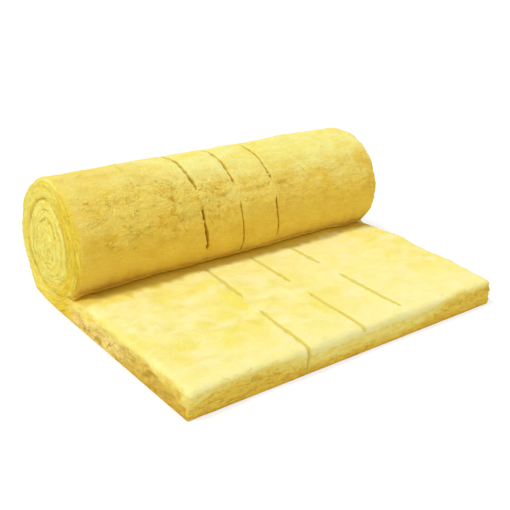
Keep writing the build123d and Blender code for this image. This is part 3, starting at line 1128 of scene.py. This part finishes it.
def ruffled(tree, shape, length, height):
    """Pushes each vertex of a shape about at random, by lumps of a length and up to a height."""
    position = add(tree, "GeometryNodeInputPosition")
    counted = add(tree, "ShaderNodeVectorMath", {0: position, 1: length}, operation="DIVIDE")
    cloud = add(tree, "ShaderNodeTexNoise", {"Vector": counted, "Scale": 1.0, "Detail": 1.0})
    signed = add(tree, "ShaderNodeVectorMath", {0: cloud.outputs["Color"], 1: (0.5, 0.5, 0.5)},
                 operation="SUBTRACT")
    shift = add(tree, "ShaderNodeVectorMath", {0: signed, 1: height}, operation="MULTIPLY")
    return add(tree, "GeometryNodeSetPosition", {"Geometry": shape, "Offset": shift})


def torn_flakes(coat):
    """A tree that strews curled flakes of torn wool, each a thin, bent lens.

    A real flake is a tuft of fibres too fine to show, so each is drawn coarser, as one closed body.
    """
    sizes = {
        "Flakes per square metre": 2600.0, "Flake size": (0.0085, 0.0042, 0.0014), "Flake curl": -32.0,
        "Ruffle length": (0.008, 0.008, 0.008), "Ruffle height": (0.0036, 0.0036, 0.0036),
    }
    tree, given = geometry_tree("torn_flakes", sizes)
    marked, turned = scattered(tree, given, "flaky", "Flakes", (0.22, 0.16, 0.9))
    ball = add(tree, "GeometryNodeMeshUVSphere", {"Segments": 7, "Rings": 5, "Radius": 1.0})
    where = add(tree, "ShaderNodeSeparateXYZ", {0: add(tree, "GeometryNodeInputPosition")})
    along = add(tree, "ShaderNodeMath", {0: where.outputs["X"], 1: where.outputs["X"]}, operation="MULTIPLY")
    drop = add(tree, "ShaderNodeMath", {0: along, 1: given.outputs["Flake curl"]}, operation="MULTIPLY")
    bend = add(tree, "ShaderNodeCombineXYZ", {"Z": drop})
    lens = add(tree, "GeometryNodeTransform", {"Geometry": ball, "Scale": given.outputs["Flake size"]})
    bent = add(tree, "GeometryNodeSetPosition", {"Geometry": lens, "Offset": bend})
    size = add(tree, "FunctionNodeRandomValue", {"Min": (0.5, 0.5, 0.7), "Max": (1.6, 1.4, 1.4), "Seed": 3},
               data_type="FLOAT_VECTOR")
    strewn = add(tree, "GeometryNodeInstanceOnPoints",
                 {"Points": marked, "Instance": bent, "Rotation": turned, "Scale": size})
    whole = add(tree, "GeometryNodeRealizeInstances", {"Geometry": strewn})
    ragged = ruffled(tree, whole, given.outputs["Ruffle length"], given.outputs["Ruffle height"])
    coat_result(tree, ragged, coat)
    return tree, sizes


def stray_strands(coat):
    """A tree that strews loose strands, each a thin tube.

    Real fibres are far too fine to show, so each strand stands for a twist of them, about 1 mm thick.
    """
    sizes = {
        "Strands per square metre": 2400.0, "Strand length": (0.030, 0.030, 0.030), "Strand radius": 0.0004,
        "Wave length": (0.016, 0.016, 0.016), "Wave height": (0.020, 0.020, 0.020),
    }
    tree, given = geometry_tree("stray_strands", sizes)
    marked, turned = scattered(tree, given, "stray", "Strands", (0.3, 0.3, 3.1))
    line = add(tree, "GeometryNodeCurvePrimitiveLine", {"Start": (-0.5, 0, 0), "End": (0.5, 0, 0)})
    line = add(tree, "GeometryNodeResampleCurve", {"Curve": line, "Count": 9})
    size = add(tree, "FunctionNodeRandomValue", {"Min": (0.4, 1, 1), "Max": (1.5, 1, 1), "Seed": 5},
               data_type="FLOAT_VECTOR")
    length = add(tree, "ShaderNodeVectorMath", {0: size, 1: given.outputs["Strand length"]},
                 operation="MULTIPLY")
    strewn = add(tree, "GeometryNodeInstanceOnPoints",
                 {"Points": marked, "Instance": line, "Rotation": turned, "Scale": length})
    whole = add(tree, "GeometryNodeRealizeInstances", {"Geometry": strewn})
    waved = ruffled(tree, whole, given.outputs["Wave length"], given.outputs["Wave height"])
    ring = add(tree, "GeometryNodeCurvePrimitiveCircle",
               {"Resolution": 3, "Radius": given.outputs["Strand radius"]})
    tubes = add(tree, "GeometryNodeCurveToMesh", {"Curve": waved, "Profile Curve": ring, "Fill Caps": True})
    coat_result(tree, tubes, coat)
    return tree, sizes


def loose_wool(name, roll, tree, sizes):
    """One kind of loose wool as a piece of its own, grown from the blanket's surface."""
    piece = new_piece(name, roll.data.copy())
    run_tree(piece, tree, sizes)
    piece.data.shade_smooth()
    return piece


def camera():
    """The photograph's viewpoint, as worked out from the object's edges in it."""
    place = Vector((-1.6153, -1.7349, 1.2154))
    turn_left, look_down, lean = (math.radians(a) for a in (-42.575, 24.981, -6.159))
    ahead = Vector((-math.sin(turn_left) * math.cos(look_down),
                    math.cos(turn_left) * math.cos(look_down), -math.sin(look_down)))
    level = Vector((math.cos(turn_left), math.sin(turn_left), 0))
    below = ahead.cross(level)
    across = level * math.cos(lean) + below * math.sin(lean)
    down = below * math.cos(lean) - level * math.sin(lean)
    lens = bpy.data.cameras.new("camera")
    lens.lens = 62.47
    lens.sensor_width = 36
    eye = new_piece("camera", lens)
    eye.matrix_world = Matrix((across, -down, -ahead)).transposed().to_4x4()
    eye.location = place
    bpy.context.scene.camera = eye


def studio():
    """A white floor that keeps the object's shadow, a white sky and one soft lamp overhead."""
    scene = bpy.context.scene
    scene.view_settings.view_transform = "Standard"
    scene.world = bpy.data.worlds.new("studio")
    sky = emptied(scene.world)
    paths = add(sky, "ShaderNodeLightPath")
    seen = add(sky, "ShaderNodeMath", {0: paths.outputs["Is Camera Ray"], 1: paths.outputs["Is Glossy Ray"]},
               operation="MAXIMUM")
    seen = add(sky, "ShaderNodeMath", {0: seen, 1: paths.outputs["Is Transmission Ray"]},
               operation="MAXIMUM")
    strength = add(sky, "ShaderNodeMapRange", {"Value": seen, "To Min": SKY_LIGHT, "To Max": 1.0})
    white = add(sky, "ShaderNodeBackground", {"Color": (1, 1, 1, 1), "Strength": strength})
    add(sky, "ShaderNodeOutputWorld", {"Surface": white})

    lamp = bpy.data.lights.new("overhead", "SUN")
    lamp.energy = LAMP_POWER
    lamp.angle = math.radians(LAMP_WIDTH)
    sun = new_piece("overhead", lamp)
    towards = Vector((-LAMP_LEAN_LEFT, LAMP_LEAN_BACK, 1.0))
    sun.rotation_euler = towards.to_track_quat("Z", "Y").to_euler()

    ground = bpy.data.materials.new("studio_floor")
    tree = emptied(ground)
    paths = add(tree, "ShaderNodeLightPath")
    matt = add(tree, "ShaderNodeBsdfDiffuse", {"Color": (0.9, 0.9, 0.9, 1)})
    shaded = add(tree, "ShaderNodeBsdfDiffuse", {"Color": (0.35, 0.35, 0.35, 1)})
    glow = add(tree, "ShaderNodeEmission", {"Color": (1, 1, 1, 1), "Strength": FLOOR_GLOW})
    seen = add(tree, "ShaderNodeAddShader", {0: shaded, 1: glow})
    either = add(tree, "ShaderNodeMixShader", {0: paths.outputs["Is Camera Ray"], 1: matt, 2: seen})
    add(tree, "ShaderNodeOutputMaterial", {"Surface": either})
    mesh = bpy.data.meshes.new("studio_floor")
    corners = [(x * FLOOR_REACH, y * FLOOR_REACH, 0) for x, y in ((-1, -1), (1, -1), (1, 1), (-1, 1))]
    mesh.from_pydata(corners, [], [(0, 1, 2, 3)])
    mesh.materials.append(ground)
    new_piece("studio_floor", mesh)


coat = glass_wool()
roll = blanket(coat)
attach(roll, "root")
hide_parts("glass_wool_blanket")
for name, kind in (("torn_flakes", torn_flakes), ("stray_strands", stray_strands)):
    piece = loose_wool(name, roll, *kind(coat))
    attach(piece, "root")
camera()
studio()
